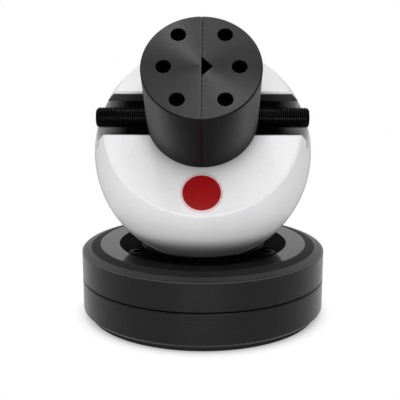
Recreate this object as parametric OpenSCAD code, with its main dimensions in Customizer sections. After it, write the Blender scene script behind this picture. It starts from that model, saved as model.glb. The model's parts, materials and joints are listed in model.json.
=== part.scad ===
// Ball vise: a split cylindrical vise head on a tilting steel ball, which rests in a turntable base.
// Millimetres, +Z up. The origin is the centre of the foot's resting face; the front faces -Y.
// The pieces above the base are drawn in the ball's own frame (origin at the ball's centre, +Z
// along the head's axis) and on_ball() leans that frame forward to the resting pose.

/* [Ball] */
// Diameter of the steel ball
ball_d = 105; // [96:0.5:116]
// Height of the flat above the ball's centre
flat_h = 26.5; // [23:0.5:30]
// Distance of the head's axis behind the flat's centre
head_offset = 4.5; // [0:0.5:6]
// Lean of the ball towards the front at rest, in degrees
rest_tilt = 52.5; // [0:0.5:65]
// Width of the bevel round the flat's edge
flat_bevel = 0.5; // [0.2:0.1:1]

/* [Jaw channel] */
// Width of the channel across the flat
channel_w = 22; // [20:0.5:26]
// Distance of the channel behind the head's axis
channel_offset = 2.5; // [0:0.1:3]
// Depth of the channel below the flat
channel_depth = 10.6; // [10.4:0.1:13]
// Reach of the undercut beyond each wall of the channel
undercut_reach = 2.5; // [1.5:0.1:4]
// Height of the undercut above the channel's floor
undercut_h = 3.2; // [2.4:0.1:4]
// Bevel along the channel's upper edges
channel_bevel = 0.8; // [0.3:0.1:1.2]

/* [Vise head] */
// Diameter of the two closed jaws
head_d = 51.5; // [46:0.5:60]
// Height of the jaws above the flat
head_h = 43; // [34:0.5:52]
// Bevel round the top face of the jaws
head_bevel = 0.6; // [0.2:0.1:1.5]
// Gap between the closed jaws
jaw_gap = 0.3; // [0.2:0.1:1]
// Travel of each jaw
jaw_travel = 15; // [12:0.5:16]
// Clearance under a jaw and round its tongue
slide_clear = 0.25; // [0.15:0.05:0.35]
// Width of the V groove in the right jaw
vee_w = 9.5; // [5:0.5:12]

/* [Pin holes] */
// Diameter of the six pin holes
pin_d = 6.5; // [4:0.1:7]
// Depth of the pin holes
pin_depth = 12; // [8:0.5:16]
// Distance of the middle pair of holes from the split
mid_pin_x = 16; // [14:0.5:18]
// Distance of the outer pairs of holes from the split
outer_pin_x = 10; // [8.5:0.5:12]
// Distance of the outer pairs of holes from the middle pair
outer_pin_y = 16; // [12:0.5:17]
// Countersink at the mouth of a pin hole
pin_sink = 0.2; // [0.1:0.1:0.6]

/* [Lead screw] */
// Diameter over the thread's crests
screw_d = 9.8; // [8:0.1:10.4]
// Reach of the lead screw past each open jaw
screw_reach = 9; // [6:0.5:12]
// Depth of the screw's axis below the flat
screw_depth = 4.2; // [4:0.1:4.6]
// Chamfer at the screw's ends
screw_chamfer = 1.2; // [0.5:0.1:2]
// Diameter of the neck at the screw's middle
neck_d = 6.4; // [5:0.1:7]
// Width across the flats of the hexagon sockets
key_af = 5; // [4:0.5:6]
// Depth of the hexagon sockets
key_depth = 7; // [4:0.5:10]
// Radial running clearance of the shafts in their bores
run_clear = 0.05; // [0.02:0.01:0.1]

/* [Yoke] */
// Thickness of the yoke that holds the screw's neck
yoke_t = 5; // [4:0.5:6]
// Depth of the yoke's seat below the channel's floor
yoke_seat = 2.5; // [1.5:0.1:4]
// Height of the yoke above the flat
yoke_rise = 2; // [1.5:0.1:3]
// End play of the neck beside the yoke
end_play = 0.1; // [0.05:0.05:0.2]
// Diameter of the yoke's screws
yoke_screw_d = 2.5; // [2:0.5:3]
// Head diameter of the yoke's screws
yoke_head_d = 4.2; // [3.6:0.1:4.6]

/* [Badge] */
// Diameter of the plain round badge
badge_d = 18.5; // [12:0.5:20]
// Thickness of the badge
badge_t = 1; // [0.7:0.1:1.5]
// Depth of the badge's recess in the flat
badge_recess = 0.4; // [0.2:0.1:0.6]
// Margin between the badge and the flat's lower edge
badge_margin = 2; // [1.5:0.1:5]

/* [Seat] */
// Radius of the ball's contact at the top of the liner
seat_r = 26.5; // [24:0.1:30]
// Radial thickness of the liner at its top
liner_t = 4.1; // [2:0.1:6]
// Height of the liner
liner_h = 3.7; // [2.5:0.1:5]
// Depth of the liner below the seat ring's top
liner_drop = 1; // [0.6:0.1:2.5]
// Radial width of the seat ring's top face
ring_w = 10.8; // [10:0.1:12]
// Height of the seat ring
ring_h = 8.3; // [7.6:0.1:10]
// Rise of the seat ring above the turntable's top
ring_rise = 0; // [0:0.1:1.5]
// Gap between the ball and the liner
ball_gap = 0.25; // [0.2:0.05:0.4]
// Number of seat ring screws
ring_screws = 6; // [3:1:8]
// Thread diameter of the seat ring screws
ring_screw_d = 5; // [4:0.5:5]
// Head diameter of the seat ring screws
ring_head_d = 8.5; // [7:0.1:8.8]
// Head height of the seat ring screws
ring_head_h = 5; // [4:0.1:5.4]
// Length of the seat ring screws below the head
ring_screw_len = 8.5; // [7:0.5:9]

/* [Base] */
// Diameter of both tiers
base_d = 120; // [112:1:140]
// Height of the lower tier
lower_h = 16; // [15:0.1:22]
// Gap between the two tiers
tier_gap = 0.4; // [0.3:0.1:0.8]
// Thickness of the turntable's floor
floor_t = 6.3; // [6:0.1:10]
// Space under the ball
under_ball = 2; // [1:0.1:5]
// Chamfer at the tiers' outer edges
tier_chamfer = 0.5; // [0.3:0.1:1]
// Chamfer at the foot of the lower tier
foot_chamfer = 1.4; // [0.6:0.1:3]
// Width of the sloping outer band of the turntable's top
band_w = 4.5; // [3:0.1:6]
// Rise of the sloping outer band
band_rise = 1.45; // [1:0.05:3]
// Width of the inner step of the turntable's top
step_w = 4.6; // [3:0.1:5]
// Rise of the inner step
step_rise = 0.9; // [0.6:0.1:2]
// Diameter of the rubber foot pad
pad_d = 113; // [96:1:115]
// Thickness of the rubber foot pad
pad_t = 3.7; // [3.2:0.1:4.5]
// Height of the pad below the lower tier
pad_proud = 2.7; // [1:0.1:3]

/* [Bearing] */
// Diameter of the bearing balls
bead_d = 5; // [4:0.5:5.5]
// Number of bearing balls
bead_count = 18; // [12:1:24]
// Pitch radius of the bearing balls
bearing_r = 36; // [32:0.5:38]
// Width of the races
race_w = 12; // [10:0.5:13]
// Thickness of each race
race_t = 3; // [2.6:0.1:3.5]
// Depth of the grooves in the races
groove_depth = 1; // [0.6:0.1:1.2]
// Thickness of the ball cage
cage_t = 2; // [1.2:0.1:2.4]

/* [Pivot] */
// Diameter of the pivot bolt's shank
shank_d = 12; // [9:0.5:14]
// Thread diameter of the pivot bolt
pivot_thread_d = 10; // [7:0.5:10]
// Head diameter of the pivot bolt
pivot_head_d = 20; // [18:0.5:24]
// Head height of the pivot bolt
pivot_head_h = 3.2; // [2.6:0.1:3.6]
// Wall of the bronze bush round the shank
bush_t = 2; // [1:0.1:3]
// Thickness of the bronze washer
washer_t = 1.2; // [0.8:0.1:1.6]
// Height of the disc spring
spring_h = 1.4; // [1:0.1:1.6]

/* [Hidden] */
$fn = 96;

black_steel = [0.10, 0.10, 0.11];
bright_steel = [0.82, 0.82, 0.84];
bearing_steel = [0.70, 0.71, 0.73];
bronze = [0.72, 0.52, 0.26];
rubber = [0.06, 0.06, 0.06];
over = 1; // how far a cutting solid runs past what it cuts
lap = 0.1; // how far the solids of one piece run into each other
fit_clear = 0.1; // between pieces that are bolted or pressed together
sink_clear = 0.15; // round and above the head of a sunk screw
tip_clear = 0.3; // beyond the tip of a screw in its hole
part_gap = 0.6; // between neighbouring pieces that never touch

// Levels of the base, from the table up
lower_z = pad_proud;
lower_top_z = lower_z + lower_h;
upper_z = lower_top_z + tier_gap;
floor_z = upper_z + floor_t;

// The ball, held by a spherical liner inside the seat ring
ball_r = ball_d / 2;
base_r = base_d / 2;
cup_r = ball_r + ball_gap;
ball_z = floor_z + under_ball + ball_r;
liner_top_z = ball_z - sqrt(cup_r * cup_r - seat_r * seat_r);
liner_z = liner_top_z - liner_h;
ring_top_z = liner_top_z + liner_drop;
ring_z = ring_top_z - ring_h;
top_z = ring_top_z - ring_rise;
ring_bore_r = seat_r + liner_t;
ring_r = ring_bore_r + ring_w;
ring_bolt_r = ring_bore_r + ring_w / 2;
liner_bore_r = sqrt(cup_r * cup_r - pow(ball_z - liner_z, 2));
lip_r = liner_bore_r + 1.5;
cup_bore_r = lip_r + 3;
ring_sink = ring_head_h + sink_clear;

// The top of the turntable falls away in a step, a sloping band and a narrow chamfer
step_z = top_z - step_rise;
band_z = step_z - band_rise;
side_z = band_z - tier_chamfer;
band_r = base_r - tier_chamfer;
step_r = band_r - band_w;
disc_r = step_r - step_w;

// Thrust bearing: half in the lower tier, with its upper race let into the turntable
bead_r = bead_d / 2;
race_recess = 1.1; // how deep the upper race sits in the turntable
cage_margin = 1; // between the cage's rims and the races' rims
upper_race_z = upper_z + race_recess - race_t;
bead_z = upper_race_z + groove_depth - run_clear - bead_r;
lower_race_top_z = bead_z - bead_r - run_clear + groove_depth;
lower_race_z = lower_race_top_z - race_t;

// Pivot bolt: screwed up into the turntable, its head pulling on a disc spring from below
pivot_sink_r = pivot_head_d / 2 + 2;
pivot_head_z = pad_t + tip_clear;
pivot_key_af = pivot_thread_d * 0.65;
spring_z = pivot_head_z + pivot_head_h + fit_clear;
spring_top_z = spring_z + spring_h;
pivot_sink_z = spring_top_z + washer_t;
bush_r = shank_d / 2 + run_clear + bush_t;

// The vise head in the ball's frame
channel_y = head_offset + channel_offset;
head_r = head_d / 2;
screw_len = head_d + 2 * jaw_travel + 2 * screw_reach;
head_z = flat_h + slide_clear;
head_top_z = flat_h + head_h;
flat_r = sqrt(ball_r * ball_r - flat_h * flat_h);
channel_z = flat_h - channel_depth;
screw_z = flat_h - screw_depth;
screw_r = screw_d / 2;
badge_y = badge_margin + badge_d / 2 - flat_r;
neck_len = yoke_t + 2 * end_play;
tongue_x = neck_len / 2 + part_gap;
tongue_end_x = head_r - 1;
tongue_z = channel_z + slide_clear;
yoke_z = channel_z - yoke_seat;
yoke_top_z = flat_h + yoke_rise;
yoke_w = channel_w - 2 * fit_clear;
yoke_screw_y = (neck_d + yoke_w) / 4; // the middle of each leg of the fork
yoke_head_h = 2.2;
yoke_screw_tip = 7; // reach of its screws below the yoke
yoke_body = yoke_top_z - yoke_head_h - yoke_z; // its height under the heads of its screws

// Leans the ball's frame forward to the resting pose
module on_ball() {
    translate([0, 0, ball_z]) rotate([rest_tilt, 0, 0]) children();
}

// A solid of revolution from a profile of [radius, height] points
module turned(profile) {
    rotate_extrude() polygon(profile);
}

// A plain ring
module ring(outer_r, inner_r, height) {
    difference() {
        cylinder(r = outer_r, h = height);
        translate([0, 0, -over]) cylinder(r = inner_r, h = height + 2 * over);
    }
}

// Copies its children round the axis
module around(count, radius, start = 0) {
    for (i = [0 : count - 1]) rotate(start + i * 360 / count) translate([radius, 0, 0]) children();
}

// A cutter for a hexagon socket of the given width across the flats
module hex_cut(width, depth) {
    cylinder(d = width / cos(30), h = depth, $fn = 6);
}

// A socket-head screw, head up, with the underside of its head at z = 0
module cap_screw(thread_d, head_d, head_h, length) {
    socket_depth = head_h * 0.55;
    edge = head_h * 0.08;
    difference() {
        union() {
            turned([[0, 0], [head_d / 2, 0], [head_d / 2, head_h - edge],
                    [head_d / 2 - edge, head_h], [0, head_h]]);
            translate([0, 0, -length]) cylinder(d = thread_d, h = length + lap);
        }
        translate([0, 0, head_h - socket_depth])
            rotate(30) hex_cut(head_d * 0.48, socket_depth + over);
    }
}

// ---- Base ----

module foot_pad() {
    color(rubber) cylinder(d = pad_d, h = pad_t);
}

module base_lower() {
    color(black_steel) difference() {
        translate([0, 0, lower_z])
            turned([[0, 0], [base_r - foot_chamfer, 0], [base_r, foot_chamfer],
                    [base_r, lower_h - tier_chamfer], [base_r - tier_chamfer, lower_h],
                    [0, lower_h]]);
        // seat of the foot pad
        translate([0, 0, lower_z - over])
            cylinder(r = pad_d / 2 + fit_clear, h = pad_t - lower_z + over);
        // pocket of the thrust bearing
        translate([0, 0, lower_race_z])
            ring(bearing_r + race_w / 2 + fit_clear, bearing_r - race_w / 2 - fit_clear, lower_h);
        // bore for the bush, and the sink for the pivot bolt's head
        cylinder(r = bush_r, h = lower_top_z + over);
        cylinder(r = pivot_sink_r, h = pivot_sink_z);
    }
}

module pivot_bush() {
    color(bronze) translate([0, 0, pivot_sink_z])
        ring(bush_r, shank_d / 2 + run_clear, lower_top_z - pivot_sink_z);
}

module thrust_washer() {
    color(bronze) translate([0, 0, spring_top_z])
        ring(pivot_sink_r - part_gap, shank_d / 2 + fit_clear, washer_t);
}

module disc_spring() {
    inner_r = shank_d / 2 + fit_clear;
    outer_r = pivot_sink_r - part_gap;
    sheet_t = spring_h / 2;
    land = 1;
    color(bearing_steel) translate([0, 0, spring_z])
        turned([[inner_r, 0], [inner_r + land, 0], [outer_r, spring_h - sheet_t],
                [outer_r, spring_h], [outer_r - land, spring_h], [inner_r, sheet_t]]);
}

module pivot_bolt() {
    color(bearing_steel) difference() {
        union() {
            translate([0, 0, pivot_head_z]) cylinder(d = pivot_head_d, h = pivot_head_h);
            translate([0, 0, pivot_head_z]) cylinder(d = shank_d, h = upper_z - pivot_head_z);
            translate([0, 0, upper_z - lap])
                cylinder(r = pivot_thread_d / 2 - fit_clear, h = floor_t - tip_clear);
        }
        translate([0, 0, pivot_head_z - over]) hex_cut(pivot_key_af, pivot_head_h + over);
    }
}

// ---- Thrust bearing ----

// The groove that the bearing balls run in
module race_groove() {
    rotate_extrude() translate([bearing_r, 0]) circle(r = bead_r + run_clear, $fn = 48);
}

module lower_race() {
    color(bearing_steel) difference() {
        translate([0, 0, lower_race_z])
            ring(bearing_r + race_w / 2, bearing_r - race_w / 2, race_t);
        translate([0, 0, bead_z]) race_groove();
    }
}

module upper_race() {
    color(bearing_steel) difference() {
        translate([0, 0, upper_race_z])
            ring(bearing_r + race_w / 2, bearing_r - race_w / 2, race_t);
        translate([0, 0, bead_z]) race_groove();
    }
}

module bearing_cage() {
    color(bronze) translate([0, 0, bead_z - cage_t / 2]) difference() {
        ring(bearing_r + race_w / 2 - cage_margin, bearing_r - race_w / 2 + cage_margin, cage_t);
        around(bead_count, bearing_r)
            translate([0, 0, -over]) cylinder(r = bead_r + fit_clear, h = cage_t + 2 * over, $fn = 32);
    }
}

module bearing_balls() {
    color(bearing_steel) translate([0, 0, bead_z])
        around(bead_count, bearing_r) sphere(r = bead_r, $fn = 24);
}

// ---- Turntable and seat ----

module base_upper() {
    color(black_steel) difference() {
        turned([[0, upper_z], [base_r - tier_chamfer, upper_z], [base_r, upper_z + tier_chamfer],
                [base_r, side_z], [band_r, band_z], [step_r, step_z], [disc_r, top_z], [0, top_z]]);
        // recess for the seat ring, and the cup under the ball
        translate([0, 0, ring_z]) cylinder(r = ring_r + fit_clear, h = ring_h + over);
        translate([0, 0, floor_z]) cylinder(r = cup_bore_r, h = ring_h);
        // seat of the upper race
        translate([0, 0, upper_z - over])
            ring(bearing_r + race_w / 2 + fit_clear, bearing_r - race_w / 2 - fit_clear,
                 race_recess + over);
        // threads for the pivot bolt and the ring's screws
        translate([0, 0, upper_z - over])
            cylinder(d = pivot_thread_d, h = floor_t + 2 * over);
        translate([0, 0, ring_top_z - ring_sink - ring_screw_len - tip_clear])
            around(ring_screws, ring_bolt_r, -90) cylinder(d = ring_screw_d, h = ring_h + floor_t);
    }
}

module seat_ring() {
    edge = 0.4;
    color(black_steel) difference() {
        translate([0, 0, ring_z])
            turned([[lip_r, 0], [ring_r, 0], [ring_r, ring_h - edge], [ring_r - edge, ring_h],
                    [ring_bore_r + edge, ring_h], [ring_bore_r, ring_h - edge],
                    [ring_bore_r, liner_z - ring_z], [lip_r, liner_z - ring_z]]);
        around(ring_screws, ring_bolt_r, -90) {
            translate([0, 0, ring_z - over])
                cylinder(r = ring_screw_d / 2 + fit_clear, h = ring_h);
            translate([0, 0, ring_top_z - ring_sink])
                cylinder(r = ring_head_d / 2 + sink_clear, h = ring_sink + over);
        }
    }
}

module seat_liner() {
    color([0.12, 0.12, 0.12]) difference() {
        translate([0, 0, liner_z])
            ring(ring_bore_r - fit_clear, liner_bore_r - over, liner_h);
        translate([0, 0, ball_z]) sphere(r = cup_r, $fn = 128);
    }
}

module seat_screws() {
    color(black_steel) translate([0, 0, ring_top_z - ring_sink])
        around(ring_screws, ring_bolt_r, -90)
            cap_screw(ring_screw_d - 2 * fit_clear, ring_head_d, ring_head_h, ring_screw_len);
}

// ---- Ball ----

// The section of the channel and its undercut, drawn in Y and Z, extruded along X
module channel_cut(length) {
    half = channel_w / 2;
    reach = half + undercut_reach;
    under_z = channel_z + undercut_h;
    top = flat_h + over;
    translate([-length / 2, 0, 0]) rotate([90, 0, 90]) linear_extrude(length)
        polygon([[-reach, channel_z], [reach, channel_z], [reach, under_z], [half, under_z],
                 [half, flat_h - channel_bevel], [half + channel_bevel + over, top],
                 [-half - channel_bevel - over, top], [-half, flat_h - channel_bevel],
                 [-half, under_z], [-reach, under_z]]);
}

module ball_body() {
    color(bright_steel) on_ball() difference() {
        sphere(r = ball_r, $fn = 128);
        translate([0, 0, flat_h]) cylinder(r = ball_r, h = ball_r);
        // bevel round the edge of the flat
        translate([0, 0, flat_h - flat_bevel])
            difference() {
                cylinder(r = ball_r, h = flat_bevel + over);
                translate([0, 0, -over])
                    cylinder(r1 = flat_r + over, r2 = flat_r - flat_bevel - over,
                             h = flat_bevel + 2 * over);
            }
        translate([0, channel_y, 0]) {
            channel_cut(ball_d);
            // seat of the yoke, with tapped holes for its screws
            translate([-yoke_t / 2 - fit_clear, -channel_w / 2, yoke_z])
                cube([yoke_t + 2 * fit_clear, channel_w, yoke_seat + over]);
            for (side = [-1, 1])
                translate([0, side * yoke_screw_y, yoke_z - yoke_screw_tip])
                    cylinder(d = yoke_screw_d, h = yoke_body + yoke_screw_tip);
        }
        translate([0, badge_y, flat_h - badge_recess])
            cylinder(r = badge_d / 2 + fit_clear, h = badge_recess + over);
    }
}

module badge() {
    edge = 0.3;
    color("crimson") on_ball()
        translate([0, badge_y, flat_h - badge_recess])
            turned([[0, 0], [badge_d / 2, 0], [badge_d / 2, badge_t - edge],
                    [badge_d / 2 - edge, badge_t], [0, badge_t]]);
}

// A fork that drops over the screw's neck and holds it endways
module screw_yoke() {
    fork_r = neck_d / 2 + run_clear;
    color(bearing_steel) on_ball() translate([0, channel_y, 0]) difference() {
        translate([-yoke_t / 2, -yoke_w / 2, yoke_z])
            cube([yoke_t, yoke_w, yoke_top_z - yoke_z]);
        translate([-yoke_t, 0, screw_z]) rotate([0, 90, 0]) cylinder(r = fork_r, h = 2 * yoke_t);
        translate([-yoke_t, -fork_r, yoke_z - over])
            cube([2 * yoke_t, 2 * fork_r, screw_z - yoke_z + over]);
        for (side = [-1, 1]) translate([0, side * yoke_screw_y, 0]) {
            translate([0, 0, yoke_z - over])
                cylinder(r = yoke_screw_d / 2 + fit_clear, h = yoke_top_z);
            translate([0, 0, yoke_top_z - yoke_head_h])
                cylinder(r = yoke_head_d / 2 + fit_clear, h = yoke_head_h + over);
        }
    }
}

module yoke_screws() {
    color(black_steel) on_ball() translate([0, channel_y, yoke_top_z - yoke_head_h])
        for (side = [-1, 1]) translate([0, side * yoke_screw_y, 0])
            cap_screw(yoke_screw_d - fit_clear, yoke_head_d, yoke_head_h - sink_clear,
                      yoke_body + yoke_screw_tip - tip_clear);
}

// ---- Lead screw and jaws ----

module lead_screw() {
    half = screw_len / 2;
    neck_r = neck_d / 2;
    color(black_steel) on_ball() translate([0, channel_y, screw_z]) rotate([0, 90, 0])
        difference() {
            turned([[0, -half], [screw_r - screw_chamfer, -half], [screw_r, screw_chamfer - half],
                    [screw_r, -neck_len / 2], [neck_r, -neck_len / 2], [neck_r, neck_len / 2],
                    [screw_r, neck_len / 2], [screw_r, half - screw_chamfer],
                    [screw_r - screw_chamfer, half], [0, half]]);
            for (side = [-1, 1])
                translate([0, 0, side * half - (side > 0 ? key_depth : over)])
                    hex_cut(key_af, key_depth + over);
        }
}

// The half of the vise head on the side where x > 0, with the head's axis as Z
module jaw_half() {
    tongue_half = channel_w / 2 - slide_clear;
    flange_half = tongue_half + undercut_reach;
    flange_top = channel_z + undercut_h - slide_clear;
    intersection() {
        union() {
            translate([0, 0, head_z])
                turned([[0, 0], [head_r, 0], [head_r, head_h - slide_clear - head_bevel],
                        [head_r - head_bevel, head_h - slide_clear], [0, head_h - slide_clear]]);
            // T-shaped tongue that runs in the channel
            translate([0, channel_offset, 0]) rotate([90, 0, 90]) linear_extrude(tongue_end_x)
                polygon([[-flange_half, tongue_z], [flange_half, tongue_z],
                         [flange_half, flange_top], [tongue_half, flange_top],
                         [tongue_half, head_z + lap], [-tongue_half, head_z + lap],
                         [-tongue_half, flange_top], [-flange_half, flange_top]]);
        }
        // everything beyond the split, and below the flat everything beyond the yoke
        union() {
            translate([jaw_gap / 2, -head_d, head_z]) cube([head_d, 2 * head_d, head_h]);
            translate([tongue_x, -head_d, 0]) cube([head_d, 2 * head_d, head_z + lap]);
        }
    }
}

// Three pin holes, the screw's bore and the pocket over the yoke, for the side where x > 0
module jaw_holes() {
    for (spot = [[mid_pin_x, 0], [outer_pin_x, outer_pin_y], [outer_pin_x, -outer_pin_y]])
        translate([spot[0], spot[1], head_top_z]) {
            translate([0, 0, -pin_depth]) cylinder(d = pin_d, h = pin_depth + over);
            translate([0, 0, -pin_sink])
                cylinder(d1 = pin_d, d2 = pin_d + 2 * (pin_sink + over), h = pin_sink + over);
        }
    translate([-over, channel_offset, screw_z]) rotate([0, 90, 0])
        cylinder(r = screw_r + run_clear, h = head_r + 2 * over);
    translate([-over, channel_offset - channel_w / 2, channel_z])
        cube([tongue_x + over, channel_w, yoke_top_z + part_gap - channel_z]);
}

// Right-angled groove down the clamping face
module vee_groove() {
    translate([0, 0, flat_h]) linear_extrude(head_h + over)
        polygon([[-over, -vee_w / 2 - over], [jaw_gap / 2, -vee_w / 2],
                 [jaw_gap / 2 + vee_w / 2, 0], [jaw_gap / 2, vee_w / 2], [-over, vee_w / 2 + over]]);
}

module jaw_right() {
    color(black_steel) on_ball() translate([0, head_offset, 0]) difference() {
        jaw_half();
        jaw_holes();
        vee_groove();
    }
}

module jaw_left() {
    color(black_steel) on_ball() translate([0, head_offset, 0]) mirror([1, 0, 0]) difference() {
        jaw_half();
        jaw_holes();
    }
}

foot_pad();
base_lower();
lower_race();
pivot_bush();
thrust_washer();
disc_spring();
bearing_cage();
bearing_balls();
upper_race();
base_upper();
pivot_bolt();
seat_ring();
seat_liner();
seat_screws();
ball_body();
badge();
screw_yoke();
yoke_screws();
lead_screw();
jaw_left();
jaw_right();
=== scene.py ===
"""Ball vise: finishes, thread, jaw facings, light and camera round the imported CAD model.

Metres, +Z up, front to -Y. Pieces of the ball and the head are placed in the ball's own frame.
"""
import json
import math

import bmesh
import bpy
from mathutils import Matrix, Vector


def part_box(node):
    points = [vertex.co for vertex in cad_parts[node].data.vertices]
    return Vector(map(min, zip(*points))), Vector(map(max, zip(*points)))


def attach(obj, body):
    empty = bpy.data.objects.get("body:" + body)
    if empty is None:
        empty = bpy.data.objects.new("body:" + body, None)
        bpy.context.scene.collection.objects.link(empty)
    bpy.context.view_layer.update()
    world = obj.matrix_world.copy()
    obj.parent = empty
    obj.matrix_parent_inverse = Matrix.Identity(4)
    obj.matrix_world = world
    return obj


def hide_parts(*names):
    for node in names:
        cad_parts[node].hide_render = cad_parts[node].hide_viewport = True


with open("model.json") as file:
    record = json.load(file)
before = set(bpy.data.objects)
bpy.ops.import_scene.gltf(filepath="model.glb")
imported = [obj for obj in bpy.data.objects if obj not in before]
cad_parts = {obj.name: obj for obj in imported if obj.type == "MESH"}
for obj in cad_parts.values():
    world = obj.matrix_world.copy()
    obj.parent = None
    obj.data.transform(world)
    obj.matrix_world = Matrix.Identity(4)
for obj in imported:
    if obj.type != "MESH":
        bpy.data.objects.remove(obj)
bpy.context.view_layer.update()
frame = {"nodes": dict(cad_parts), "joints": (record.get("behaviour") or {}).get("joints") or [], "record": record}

MM = 0.001
NODES = frame["nodes"]
JOINTS = {joint["name"]: joint for joint in frame["joints"]}
MOUNTS = {mount["name"]: mount for mount in frame["record"]["mounts"]}
X = Vector((1, 0, 0))
Z = Vector((0, 0, 1))
TABLE = Vector((0, 0, 0))
BALL_CENTRE = Vector(JOINTS["ball_tilt"]["pos_m"])
SCREW_CENTRE = Vector(JOINTS["screw_turn"]["pos_m"])
HEAD_AXIS = Vector(MOUNTS["left_jaw_middle_pin_hole"]["axis"])
HEAD_BACK = HEAD_AXIS.cross(X)
BALL_FRAME = Matrix.Translation(BALL_CENTRE) @ Matrix((X, HEAD_BACK, HEAD_AXIS)).transposed().to_4x4()

# Sizes as in the CAD source. Those of the ball and the head are in the ball's frame.
BALL_R = 52.5 * MM
FLAT_H = 26.5 * MM
HEAD_Y = 4.5 * MM
HEAD_R = 25.75 * MM
HEAD_TOP = FLAT_H + 43 * MM
CHANNEL_Y = HEAD_Y + 2.5 * MM
SPLIT_HALF = 0.15 * MM
VEE_HALF = 4.75 * MM
BASE_R = 60 * MM
BAND_INNER = 55.5 * MM
STEP_INNER = 50.9 * MM
THREAD_PITCH = 1.0 * MM
SCREW_CHAMFER = 1.2 * MM
NECK_R = 3.2 * MM
NECK_HALF = 2.6 * MM
KEY_FLATS = 5.0 * MM
KEY_DEPTH = 7.0 * MM
HEAD_CENTRE = BALL_FRAME @ Vector((0, HEAD_Y, HEAD_TOP))

# Limits of the finishes' zones.
SOFT = 0.1 * MM  # half the width of a zone's edge
STEPPED_TOP = 2.6 * MM  # below the turntable's top, down to the foot of its band
BAND_OUTER = BASE_R - 1.3 * MM
LINE_OUTER = BASE_R - 0.6 * MM
EDGE_INNER = BASE_R - 0.5 * MM
FACE_DEPTH = 0.3 * MM  # where the head's face gives way to its side
RIM_DEPTH = 0.65 * MM
RIM_WIDTH = 0.5 * MM
SPLIT_STRIP = 0.5 * MM  # width of the painted highlight strip and of the notched strip along the split
NOTCH_PITCH = 2.3 * MM
BORE_DEPTH = 0.6 * MM  # below it the pin holes, the groove and the split are painted black as shade
BORE_MARGIN = 1 * MM  # kept from the head's side
ROOT_R = 4.5 * MM  # the lead screw is matt inside this radius, and darker there as painted shade
CREST_R = 4.8 * MM  # and polished outside this one
CHANNEL_HALF = 13.6 * MM  # half the channel with its undercuts
CHANNEL_SKIN = 0.25 * MM  # kept from the ball's outside
CHANNEL_LIP = 0.9 * MM  # below the flat, where the channel's painted shade begins
CHANNEL_FLOOR = 10.3 * MM  # below the flat, where the channel's floor begins
BADGE_RIM = 0.6 * MM

# Marks of the turned metal.
MARK_SIZE = 0.6 * MM
MARK_DEPTH = 0.003 * MM
PATCH_SIZE = 14 * MM

# The lead screw's thread. The shares are of half a pitch.
THREAD_DEPTH = 0.75 * MM
CREST_SHARE = 0.25
FLANK_SHARE = 0.625
NECK_STEP = 0.001 * MM
AROUND = 48  # points in a turn
STEPS = 8  # rings in a pitch

# The serrated facings in the split.
TOOTH = 1.2 * MM
TOOTH_LEAN = 0.05 * MM
FACING_SLIT = 0.02 * MM  # between the two facings
FACING_GAP = 0.005 * MM  # between a facing's back and its jaw
FACING_MARGIN = 0.9 * MM
FACING_FOOT = 3.2 * MM
FACING_DROP = 0.15 * MM

# The floor keeps the object's real soft shadow inside SHADOW_R, deepened by painted shade where its glow drops to
# FLOOR_GLOW, and is plain white outside WHITE_R.
FLOOR_SIZE = 3.0
FLOOR_GLOW = 0.2
SHADOW_R = 53 * MM
WHITE_R = 66 * MM

AMBIENT = 0.37
LAMPS = (
    # name, place, width and height, watts
    ("key", (-0.14, -0.1, 0.95), (0.1, 0.1), 0.85),
    ("fill", (0.2, 0.1, 0.95), (0.45, 0.45), 1.1),
    ("top", (0, 0.1, 1.0), (0.8, 0.8), 0.8),
    ("front_top", (0.15, -0.6, 0.8), (0.6, 0.4), 1.8),
    ("front_low", (0, -0.95, 0.1), (0.8, 0.2), 3.5),
    ("left", (-0.7, -0.5, 0.35), (0.3, 0.6), 0.85),
)


# ---- Finishes ----

def grey(level, blue=0.0):
    """A grey, bluer by the given amount."""
    return (level, level, level + blue)


def shade(colour, factor):
    return tuple(channel * factor for channel in colour)


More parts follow.
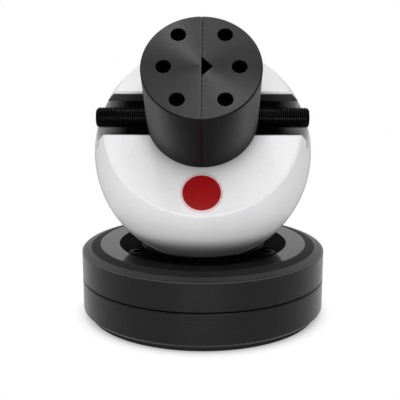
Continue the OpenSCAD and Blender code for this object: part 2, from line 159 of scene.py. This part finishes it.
class Finish:
    """A material under construction: its Principled shader and short calls for the nodes that feed it."""

    def __init__(self, name, **values):
        self.material = bpy.data.materials.new(name)
        self.material.use_nodes = True
        self.tree = self.material.node_tree
        self.shader = self.tree.nodes["Principled BSDF"]
        for socket, value in values.items():
            self.feed(socket.replace("_", " "), value)

    def feed(self, socket, value):
        """Links an output to one of the shader's inputs, or writes a constant on it."""
        self.put(self.shader.inputs[socket], value)

    def put(self, socket, value):
        if isinstance(value, bpy.types.NodeSocket):
            self.tree.links.new(value, socket)
        elif socket.type == "RGBA":
            socket.default_value = (*value, 1)
        else:
            socket.default_value = value

    def node(self, kind, **settings):
        made = self.tree.nodes.new(kind)
        for name, value in settings.items():
            setattr(made, name, value)
        return made

    def math(self, operation, *values):
        made = self.node("ShaderNodeMath", operation=operation)
        for socket, value in zip(made.inputs, values):
            self.put(socket, value)
        return made.outputs["Value"]

    def vector(self, operation, *values, output="Vector"):
        made = self.node("ShaderNodeVectorMath", operation=operation)
        for socket, value in zip(made.inputs, values):
            self.put(socket, value)
        return made.outputs[output]

    def scaled(self, vector, factor):
        made = self.node("ShaderNodeVectorMath", operation="SCALE")
        self.put(made.inputs[0], vector)
        self.put(made.inputs["Scale"], factor)
        return made.outputs["Vector"]

    def position(self, centre=None):
        """The point in the frame at rest, from the given centre."""
        spot = self.node("ShaderNodeTexCoord").outputs["Object"]
        return self.vector("SUBTRACT", spot, centre) if centre else spot

    def along(self, spot, axis):
        return self.vector("DOT_PRODUCT", spot, axis, output="Value")

    def distance(self, spot):
        return self.vector("LENGTH", spot, output="Value")

    def combine(self, x, y=0.0, z=0.0):
        made = self.node("ShaderNodeCombineXYZ")
        for socket, value in zip(made.inputs, (x, y, z)):
            self.put(socket, value)
        return made.outputs["Vector"]

    def noise(self, vector, size, detail=3.0):
        """Noise from 0 to 1 whose largest blobs are about size metres across."""
        made = self.node("ShaderNodeTexNoise")
        self.put(made.inputs["Vector"], vector)
        made.inputs["Scale"].default_value = 1 / size
        made.inputs["Detail"].default_value = detail
        made.inputs["Roughness"].default_value = 0.55
        return made.outputs["Fac"]

    def spread(self, value, low, high, start=0.0, end=1.0):
        """value taken smoothly from the range start to end into the range low to high."""
        made = self.node("ShaderNodeMapRange", interpolation_type="SMOOTHSTEP")
        self.put(made.inputs["Value"], value)
        for name, number in (("From Min", start), ("From Max", end), ("To Min", low), ("To Max", high)):
            made.inputs[name].default_value = number
        return made.outputs["Result"]

    def grain(self, noise, low, high):
        """Noise, which keeps mostly to the range 0.3 to 0.7, taken into the range low to high."""
        return self.spread(noise, low, high, 0.3, 0.7)

    def rise(self, value, start, end):
        """0 up to start and 1 from end on."""
        return self.spread(value, 0, 1, start, end)

    def fall(self, value, start, end):
        """1 up to start and 0 from end on."""
        return self.spread(value, 1, 0, start, end)

    def above(self, value, edge):
        return self.rise(value, edge - SOFT, edge + SOFT)

    def below(self, value, edge):
        return self.fall(value, edge - SOFT, edge + SOFT)

    def between(self, value, low, high):
        return self.all(self.above(value, low), self.below(value, high))

    def all(self, *masks):
        """1 only where all the masks are 1."""
        total = masks[0]
        for mask in masks[1:]:
            total = self.math("MULTIPLY", total, mask)
        return total

    def blend(self, factor, first, second):
        """Mixes two colours, each an output or a tuple."""
        made = self.node("ShaderNodeMix", data_type="RGBA")
        colours = [socket for socket in made.inputs if socket.type == "RGBA"]
        self.put(made.inputs["Factor"], factor)
        self.put(colours[0], first)
        self.put(colours[1], second)
        return [socket for socket in made.outputs if socket.type == "RGBA"][0]

    def mix(self, factor, first, second):
        """Mixes two numbers, each an output or a constant."""
        made = self.node("ShaderNodeMix", data_type="FLOAT")
        self.put(made.inputs["Factor"], factor)
        self.put(made.inputs["A"], first)
        self.put(made.inputs["B"], second)
        return made.outputs["Result"]

    def zone(self, mask, colour=None, rough=None):
        """Gives the masked part of the surface a colour or a roughness of its own."""
        if colour is not None:
            self.colour = self.blend(mask, self.colour, colour)
        if rough is not None:
            self.rough = self.mix(mask, self.rough, rough)

    def openness(self, reach):
        """1 where nothing stands within reach, less where other surfaces are close; it drives painted shade."""
        made = self.node("ShaderNodeAmbientOcclusion", samples=8)
        made.inputs["Distance"].default_value = reach
        return made.outputs["AO"]

    def grazing(self):
        """0 where the surface is seen square on, 1 where it is seen edge on."""
        made = self.node("ShaderNodeLayerWeight")
        made.inputs["Blend"].default_value = 0.5
        return made.outputs["Facing"]

    def bump(self, height, distance):
        made = self.node("ShaderNodeBump")
        made.inputs["Strength"].default_value = 1
        made.inputs["Distance"].default_value = distance
        self.put(made.inputs["Height"], height)
        self.feed("Normal", made.outputs["Normal"])

    def lathe(self, centre, axis):
        """The distance from a turned piece's axis, that along it, and the direction of its tool marks."""
        spot = self.position(centre)
        along = self.along(spot, axis)
        offset = self.vector("SUBTRACT", spot, self.scaled(axis, along))
        marks = self.vector("NORMALIZE", self.vector("CROSS_PRODUCT", axis, offset))
        world = self.node("ShaderNodeVectorTransform", convert_from="OBJECT", convert_to="WORLD")
        self.put(world.inputs["Vector"], marks)
        return self.distance(offset), along, world.outputs["Vector"]

    def done(self):
        self.feed("Base Color", self.colour)
        self.feed("Roughness", self.rough)
        return self


def turned(name, centre, axis, colour, rough, tint=0.2, **values):
    """Lathe-turned steel: fine marks run round the axis, and the gloss is drawn out across them."""
    finish = Finish(name, Anisotropic_Rotation=0.25, **values)
    finish.radius, finish.height, marks = finish.lathe(centre, axis)
    lines = finish.noise(finish.combine(finish.radius, finish.height), MARK_SIZE, detail=4)
    patches = finish.noise(finish.position(), PATCH_SIZE, detail=4)
    both = finish.math("MULTIPLY_ADD", lines, 0.5, finish.math("MULTIPLY", patches, 0.5))
    finish.colour = finish.blend(finish.grain(both, 0, 1), shade(colour, 1 - tint), colour)
    finish.rough = finish.grain(lines, rough * 0.88, rough * 1.12)
    finish.feed("Tangent", marks)
    finish.bump(lines, MARK_DEPTH)
    return finish


def ground_metal(name, colour, rough):
    return turned(name, TABLE, Z, colour, rough, Metallic=1.0, Anisotropic=0.5).done()


def blackened(name, centre=TABLE, axis=Z, colour=grey(0.004, 0.0004), rough=0.31, gloss=0.2):
    """Turned steel under a black oxide coat."""
    return turned(name, centre, axis, colour, rough, 0.3, Anisotropic=0.5, Specular_IOR_Level=gloss)


def turntable_finish():
    """Black turned steel: a glossy inner disc, a matt step, a satin band, a dark line of painted shade by the rim
    and a painted highlight on the rim's edge.
    """
    finish = blackened("black_turntable")
    radius = finish.radius
    top = finish.above(finish.height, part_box("base_upper")[1].z - STEPPED_TOP)
    disc = finish.all(top, finish.below(radius, STEP_INNER))
    step = finish.all(top, finish.between(radius, STEP_INNER, BAND_INNER))
    band = finish.all(top, finish.between(radius, BAND_INNER, BAND_OUTER))
    line = finish.all(top, finish.between(radius, BAND_OUTER, LINE_OUTER))
    edge = finish.all(top, finish.above(radius, EDGE_INNER))
    cloud = finish.noise(finish.position(), 5 * MM, detail=5)
    finish.zone(disc, grey(0.002), finish.grain(cloud, 0.05, 0.11))
    finish.zone(step, rough=0.75)
    finish.zone(band, grey(0.022), 0.45)
    # Painted shade: a dark line in the corner just inside the rim.
    finish.zone(line, grey(0.002))
    # Painted highlight: the rim's outermost edge is lighter.
    finish.zone(edge, grey(0.07))
    return finish.done()


def jaw_finish():
    """Black oxide on turned steel: a drawn-out gloss on the face, a dark rim, a split with dark notches and a
    painted highlight on its edge, a painted sheen on the side that fades into painted shade near the flat, and
    painted shade in the pin holes, the groove and the split.
    """
    finish = turned("black_jaw", HEAD_CENTRE, HEAD_AXIS, grey(0.038, 0.001), 0.34, 0.15, Metallic=1.0)
    radius, height = finish.radius, finish.height
    spot = finish.position(HEAD_CENTRE)
    across = finish.along(spot, X)
    face = finish.above(height, -FACE_DEPTH)
    side = finish.below(height, -FACE_DEPTH)
    # Painted sheen: the side is lighter where it is seen edge on, and painted shade holds it back where the flat
    # is close.
    clear = finish.spread(finish.openness(25 * MM), 0.15, 1, 0.5, 0.9)
    sheen = finish.all(finish.rise(finish.grazing(), 0.52, 0.71), clear)
    run = finish.math("FRACT", finish.math("DIVIDE", finish.along(spot, HEAD_BACK), NOTCH_PITCH))
    notch = finish.all(face, finish.between(across, 0, SPLIT_STRIP), finish.rise(run, 0.5, 0.6))
    # Painted highlight: a lighter strip along one edge of the split.
    split_highlight = finish.all(face, finish.between(across, -SPLIT_STRIP, 0))
    rim = finish.all(finish.above(height, -RIM_DEPTH), finish.above(radius, HEAD_R - RIM_WIDTH))
    # Painted shade: the pin holes, the groove and the split are black inside.
    hollow_shade = finish.all(finish.below(height, -BORE_DEPTH), finish.below(radius, HEAD_R - BORE_MARGIN))
    finish.zone(side, finish.blend(sheen, grey(0.0145, 0.0005), grey(0.085, 0.001)), 0.66)
    finish.zone(split_highlight, grey(0.05, 0.001))
    finish.zone(notch, grey(0.001))
    finish.zone(rim, grey(0.011))
    finish.zone(hollow_shade, grey(0.001))
    finish.feed("Anisotropic", finish.mix(side, 0.86, 0.4))
    return finish.done()


def screw_finish():
    """Black screw steel, polished on the thread's crests and matt in its roots, which painted shade makes darker.
    """
    finish = turned("black_screw", SCREW_CENTRE, X, grey(0.003), 0.14)
    crest = finish.rise(finish.radius, ROOT_R, CREST_R)
    # Painted shade: the thread's roots are darker than its crests.
    finish.colour = finish.blend(crest, grey(0.0005), grey(0.002))
    finish.rough = finish.mix(crest, 0.6, finish.rough)
    finish.feed("Specular IOR Level", finish.mix(crest, 0.02, 0.14))
    return finish.done()


def ball_finish():
    """Fine satin steel, with painted shade inside the jaw channel and where other parts are close, and a painted
    darker rim where the ball is seen edge on.
    """
    pale = grey(0.78, 0.01)
    finish = turned("bright_ball", BALL_CENTRE, HEAD_AXIS, pale, 0.5, 0.05, Anisotropic=0.3,
                    Specular_IOR_Level=0.15)
    spot = finish.position(BALL_CENTRE)
    height = finish.along(spot, HEAD_AXIS)
    reach = finish.math("ABSOLUTE", finish.along(spot, X))
    across = finish.math("ABSOLUTE", finish.math("SUBTRACT", finish.along(spot, HEAD_BACK), CHANNEL_Y))
    inside = finish.below(finish.distance(spot), BALL_R - CHANNEL_SKIN)
    sunk = finish.below(height, FLAT_H - CHANNEL_LIP)
    channel = finish.all(inside, sunk, finish.below(across, CHANNEL_HALF))
    # Painted shade in the channel: darkest by the head and lighter towards the channel's ends.
    wall_shade = finish.spread(reach, 0.03, 0.09, 26 * MM, 46 * MM)
    floor_shade = finish.spread(reach, 0.002, 0.45, 35 * MM, 51 * MM)
    channel_shade = finish.mix(finish.below(height, FLAT_H - CHANNEL_FLOOR), wall_shade, floor_shade)
    # Painted shade: darker where other parts are close.
    finish.zone(finish.fall(finish.openness(15 * MM), 0.25, 0.85), shade(pale, 0.15))
    # Painted shade: the rim is darker where the ball is seen edge on.
    finish.zone(finish.rise(finish.grazing(), 0.78, 0.98), shade(pale, 0.6))
    finish.zone(channel, finish.combine(channel_shade, channel_shade, channel_shade))
    finish.feed("Metallic", finish.mix(channel, 0.1, 0.0))
    return finish.done()


def rubber_finish(name):
    finish = Finish(name, Specular_IOR_Level=0.25)
    grain = finish.noise(finish.position(), 0.5 * MM)
    finish.colour = finish.blend(grain, grey(0.004), grey(0.009))
    finish.rough = finish.spread(grain, 0.65, 0.85)
    finish.bump(grain, 0.03 * MM)
    return finish.done()


def liner_finish(name):
    finish = Finish(name, Specular_IOR_Level=0.3)
    radius, along, _ = finish.lathe(TABLE, Z)
    lines = finish.noise(finish.combine(radius, along), 0.4 * MM)
    finish.colour = finish.blend(lines, grey(0.006), grey(0.012))
    finish.rough = finish.spread(lines, 0.45, 0.6)
    finish.bump(lines, 0.006 * MM)
    return finish.done()


def badge_finish(name):
    """A plain red resin disc with a thin pale rim."""
    low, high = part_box("badge")
    finish = Finish(name, Coat_Weight=0.05, Coat_Roughness=0.15, Specular_IOR_Level=0.1)
    radius, _, _ = finish.lathe((low + high) / 2, HEAD_AXIS)
    cloud = finish.noise(finish.position(), 4 * MM, detail=2)
    finish.colour = finish.blend(cloud, (0.27, 0.002, 0.003), (0.32, 0.004, 0.005))
    finish.rough = finish.spread(cloud, 0.35, 0.45)
    finish.zone(finish.above(radius, (high.x - low.x) / 2 - BADGE_RIM), (0.80, 0.58, 0.60))
    finish.bump(cloud, 0.01 * MM)
    return finish.done()


def paint(node, finish):
    """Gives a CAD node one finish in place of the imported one."""
    mesh = NODES[node].data
    mesh.materials.clear()
    mesh.materials.append(finish.material)


def finish_nodes():
    ground = ground_metal("ground_steel", grey(0.34, 0.01), 0.3)
    bronze = ground_metal("turned_bronze", (0.52, 0.33, 0.13), 0.32)
    finishes = {
        blackened("black_base").done(): ("base_lower",),
        turntable_finish(): ("base_upper",),
        blackened("black_ring", colour=grey(0.002), rough=0.6, gloss=0.004).done(): ("seat_ring",),
        blackened("black_bolt", colour=grey(0.001), rough=0.25, gloss=0.02).done(): ("seat_screws",),
        jaw_finish(): ("jaw_left", "jaw_right"),
        screw_finish(): ("lead_screw", "yoke_screws"),
        ball_finish(): ("ball_body",),
        ground: ("lower_race", "upper_race", "bearing_balls", "disc_spring", "pivot_bolt", "screw_yoke"),
        bronze: ("pivot_bush", "thrust_washer", "bearing_cage"),
        rubber_finish("foot_rubber"): ("foot_pad",),
        liner_finish("seat_liner_black"): ("seat_liner",),
        badge_finish("red_badge"): ("badge",),
    }
    for finish, names in finishes.items():
        for name in names:
            paint(name, finish)


# ---- Pieces ----

def add_piece(name, mesh, material, body):
    """Puts a bmesh into the scene as a piece that rides on a body."""
    mesh.normal_update()
    data = bpy.data.meshes.new(name)
    mesh.to_mesh(data)
    mesh.free()
    piece = bpy.data.objects.new(name, data)
    bpy.context.scene.collection.objects.link(piece)
    data.materials.append(bpy.data.materials[material])
    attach(piece, body)
    return piece


def screw_radius(x, turn, half, crest):
    """The lead screw's radius at a place along it and a share of a turn round it.

    wave is 0 in the middle of a crest and 1 in the middle of a root.
    """
    if abs(x) <= NECK_HALF:
        return NECK_R
    wave = abs(((abs(x) / THREAD_PITCH - turn) % 1.0) - 0.5) * 2
    fall = (wave - CREST_SHARE) / FLANK_SHARE
    thread = crest - THREAD_DEPTH * min(1.0, max(0.0, fall))
    return min(thread, crest - SCREW_CHAMFER + (half - abs(x)))


def screw_rings(mesh, half, crest):
    """Rings of points from the screw's left end to its right end, with a step at each end of the neck."""
    count = round((half - NECK_HALF) / THREAD_PITCH * STEPS)
    places = [NECK_HALF + (half - NECK_HALF) * i / count for i in range(count + 1)]
    places[0] += NECK_STEP
    rings = []
    for x in [-x for x in reversed(places)] + [-NECK_HALF, NECK_HALF] + places:
        ring = []
        for k in range(AROUND):
            turn = k / AROUND
            angle = turn * math.tau
            r = screw_radius(x, turn, half, crest)
            ring.append(mesh.verts.new((x, r * math.cos(angle), r * math.sin(angle))))
        rings.append(ring)
    return rings


def hexagon(mesh, x):
    """The outline of a key socket, with a point for each point of the screw's rings."""
    points = []
    for k in range(AROUND):
        angle = k / AROUND * math.tau
        sector = (angle % (math.pi / 3)) - math.pi / 6
        r = KEY_FLATS / 2 / math.cos(sector)
        points.append(mesh.verts.new((x, r * math.cos(angle), r * math.sin(angle))))
    return points


def join_rings(mesh, first, second, flip=False):
    for k in range(AROUND):
        following = (k + 1) % AROUND
        loop = (first[k], first[following], second[following], second[k])
        mesh.faces.new(loop[::-1] if flip else loop)


def threaded_screw():
    """The lead screw with its right-hand and left-hand thread, its neck and its hexagon sockets."""
    low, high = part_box("lead_screw")
    half = (high.x - low.x) / 2
    crest = (high.z - low.z) / 2
    mesh = bmesh.new()
    rings = screw_rings(mesh, half, crest)
    for first, second in zip(rings, rings[1:]):
        join_rings(mesh, first, second)
    for end, ring in ((-1, rings[0]), (1, rings[-1])):
        mouth = hexagon(mesh, end * half)
        floor = hexagon(mesh, end * (half - KEY_DEPTH))
        join_rings(mesh, ring, mouth, flip=end < 0)
        join_rings(mesh, mouth, floor, flip=end < 0)
        mesh.faces.new(floor if end > 0 else floor[::-1])
    mesh.transform(Matrix.Translation(SCREW_CENTRE))
    screw = add_piece("threaded_lead_screw", mesh, "black_screw", "screw")
    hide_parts("lead_screw")


def toothed_strip(mesh, sign, start, end, bottom, top):
    """A strip in a jaw's half of the split, from start to end across the head, with level teeth."""
    back = sign * (SPLIT_HALF - FACING_GAP)
    rows = round((top - bottom) / TOOTH * 2)
    front = []
    rear = []
    for i in range(rows + 1):
        z = top - (top - bottom) * i / rows
        x = sign * FACING_SLIT / 2 + TOOTH_LEAN * (1 if i % 2 else -1)
        front.append([mesh.verts.new((x, y, z)) for y in (start, end)])
        rear.append([mesh.verts.new((back, y, z)) for y in (start, end)])
    for face in (front, rear):
        for a, b in zip(face, face[1:]):
            mesh.faces.new((a[0], a[1], b[1], b[0]))
    for k in (0, 1):
        for i in range(rows):
            mesh.faces.new((front[i][k], front[i + 1][k], rear[i + 1][k], rear[i][k]))
    for i in (0, rows):
        mesh.faces.new((front[i][0], front[i][1], rear[i][1], rear[i][0]))


def jaw_facing(name, body, sign, spans):
    """A thin serrated facing on a jaw's inner side. The two facings' teeth mesh, so the split is dark."""
    mesh = bmesh.new()
    for start, end in spans:
        toothed_strip(mesh, sign, HEAD_Y + start, HEAD_Y + end, FLAT_H + FACING_FOOT, HEAD_TOP - FACING_DROP)
    bmesh.ops.recalc_face_normals(mesh, faces=mesh.faces)
    mesh.transform(BALL_FRAME)
    add_piece(name, mesh, "black_facing", body)


def jaw_facings():
    """The left facing is whole, and the right one leaves the V groove open."""
    blackened("black_facing", HEAD_CENTRE, X, grey(0.004), 0.5, 0.3).done()
    reach = HEAD_R - FACING_MARGIN
    jaw_facing("left_jaw_facing", "left_jaw", -1, ((-reach, reach),))
    jaw_facing("right_jaw_facing", "right_jaw", 1, ((-reach, -VEE_HALF), (VEE_HALF, reach)))


# ---- Stage, light and camera ----

def visible_ray(tree):
    """1 for rays that show the background: camera, glossy and transmission rays."""
    path = tree.nodes.new("ShaderNodeLightPath")
    total = path.outputs["Is Camera Ray"]
    for name in ("Is Glossy Ray", "Is Transmission Ray"):
        either = tree.nodes.new("ShaderNodeMath")
        either.operation = "MAXIMUM"
        tree.links.new(total, either.inputs[0])
        tree.links.new(path.outputs[name], either.inputs[1])
        total = either.outputs["Value"]
    return total


def studio_world():
    """White for the rays that show the background, and a dimmer white as light."""
    world = bpy.data.worlds.new("studio")
    world.use_nodes = True
    bpy.context.scene.world = world
    tree = world.node_tree
    strength = tree.nodes.new("ShaderNodeMapRange")
    strength.inputs["To Min"].default_value = AMBIENT
    strength.inputs["To Max"].default_value = 1
    tree.links.new(visible_ray(tree), strength.inputs["Value"])
    background = tree.nodes["Background"]
    background.inputs["Color"].default_value = (1, 1, 1, 1)
    tree.links.new(strength.outputs["Result"], background.inputs["Strength"])


def pale_floor():
    """A pale floor that keeps the real soft shadow at the foot, with painted shade there from its weaker glow, and
    is plain white beyond it.
    """
    bpy.ops.mesh.primitive_plane_add(size=FLOOR_SIZE, location=(0, 0, 0))
    floor = bpy.context.object
    floor.name = "floor"
    finish = Finish("pale_floor")
    tree = finish.tree
    tree.nodes.clear()
    diffuse = finish.node("ShaderNodeBsdfDiffuse")
    diffuse.inputs["Color"].default_value = (0.9, 0.9, 0.9, 1)
    light = finish.node("ShaderNodeEmission")
    far = finish.distance(finish.position())
    # Painted shade: the glow is weaker near the foot, so the floor there is darker even outside the object's
    # shadow.
    light_share = finish.spread(far, FLOOR_GLOW, 1, SHADOW_R, WHITE_R)
    share = finish.math("MULTIPLY", visible_ray(tree), light_share)
    mix = finish.node("ShaderNodeMixShader")
    finish.put(mix.inputs["Fac"], share)
    tree.links.new(diffuse.outputs["BSDF"], mix.inputs[1])
    tree.links.new(light.outputs["Emission"], mix.inputs[2])
    output = finish.node("ShaderNodeOutputMaterial")
    tree.links.new(mix.outputs["Shader"], output.inputs["Surface"])
    floor.data.materials.append(finish.material)


def softbox(name, place, size, power):
    """A rectangular area lamp that faces the ball."""
    lamp = bpy.data.lights.new(name, "AREA")
    lamp.shape = "RECTANGLE"
    lamp.size, lamp.size_y = size
    lamp.energy = power
    holder = bpy.data.objects.new(name, lamp)
    holder.location = place
    holder.rotation_euler = (BALL_CENTRE - Vector(place)).to_track_quat("-Z", "Y").to_euler()
    bpy.context.scene.collection.objects.link(holder)


def photo_camera():
    """The photograph's view: 13 degrees above the horizon, with the ball above the picture's middle."""
    elevation = math.radians(13)
    azimuth = math.radians(0.9)
    distance = 416.5 * MM
    rise = 23.0 * MM
    aside = 1.4 * MM
    turn = Matrix.Rotation(azimuth, 3, "Z") @ Matrix.Rotation(math.radians(90) - elevation, 3, "X")
    camera = bpy.data.objects.new("camera", bpy.data.cameras.new("camera"))
    camera.data.lens = 76.5
    camera.data.sensor_width = 36
    camera.data.clip_start = 0.01
    camera.location = BALL_CENTRE + turn @ Vector((-aside, -rise, distance))
    camera.rotation_euler = turn.to_euler()
    bpy.context.scene.collection.objects.link(camera)
    bpy.context.scene.camera = camera


def studio():
    studio_world()
    pale_floor()
    for lamp in LAMPS:
        softbox(*lamp)
    bpy.context.scene.view_settings.view_transform = "Standard"
    photo_camera()


finish_nodes()
threaded_screw()
jaw_facings()
studio()
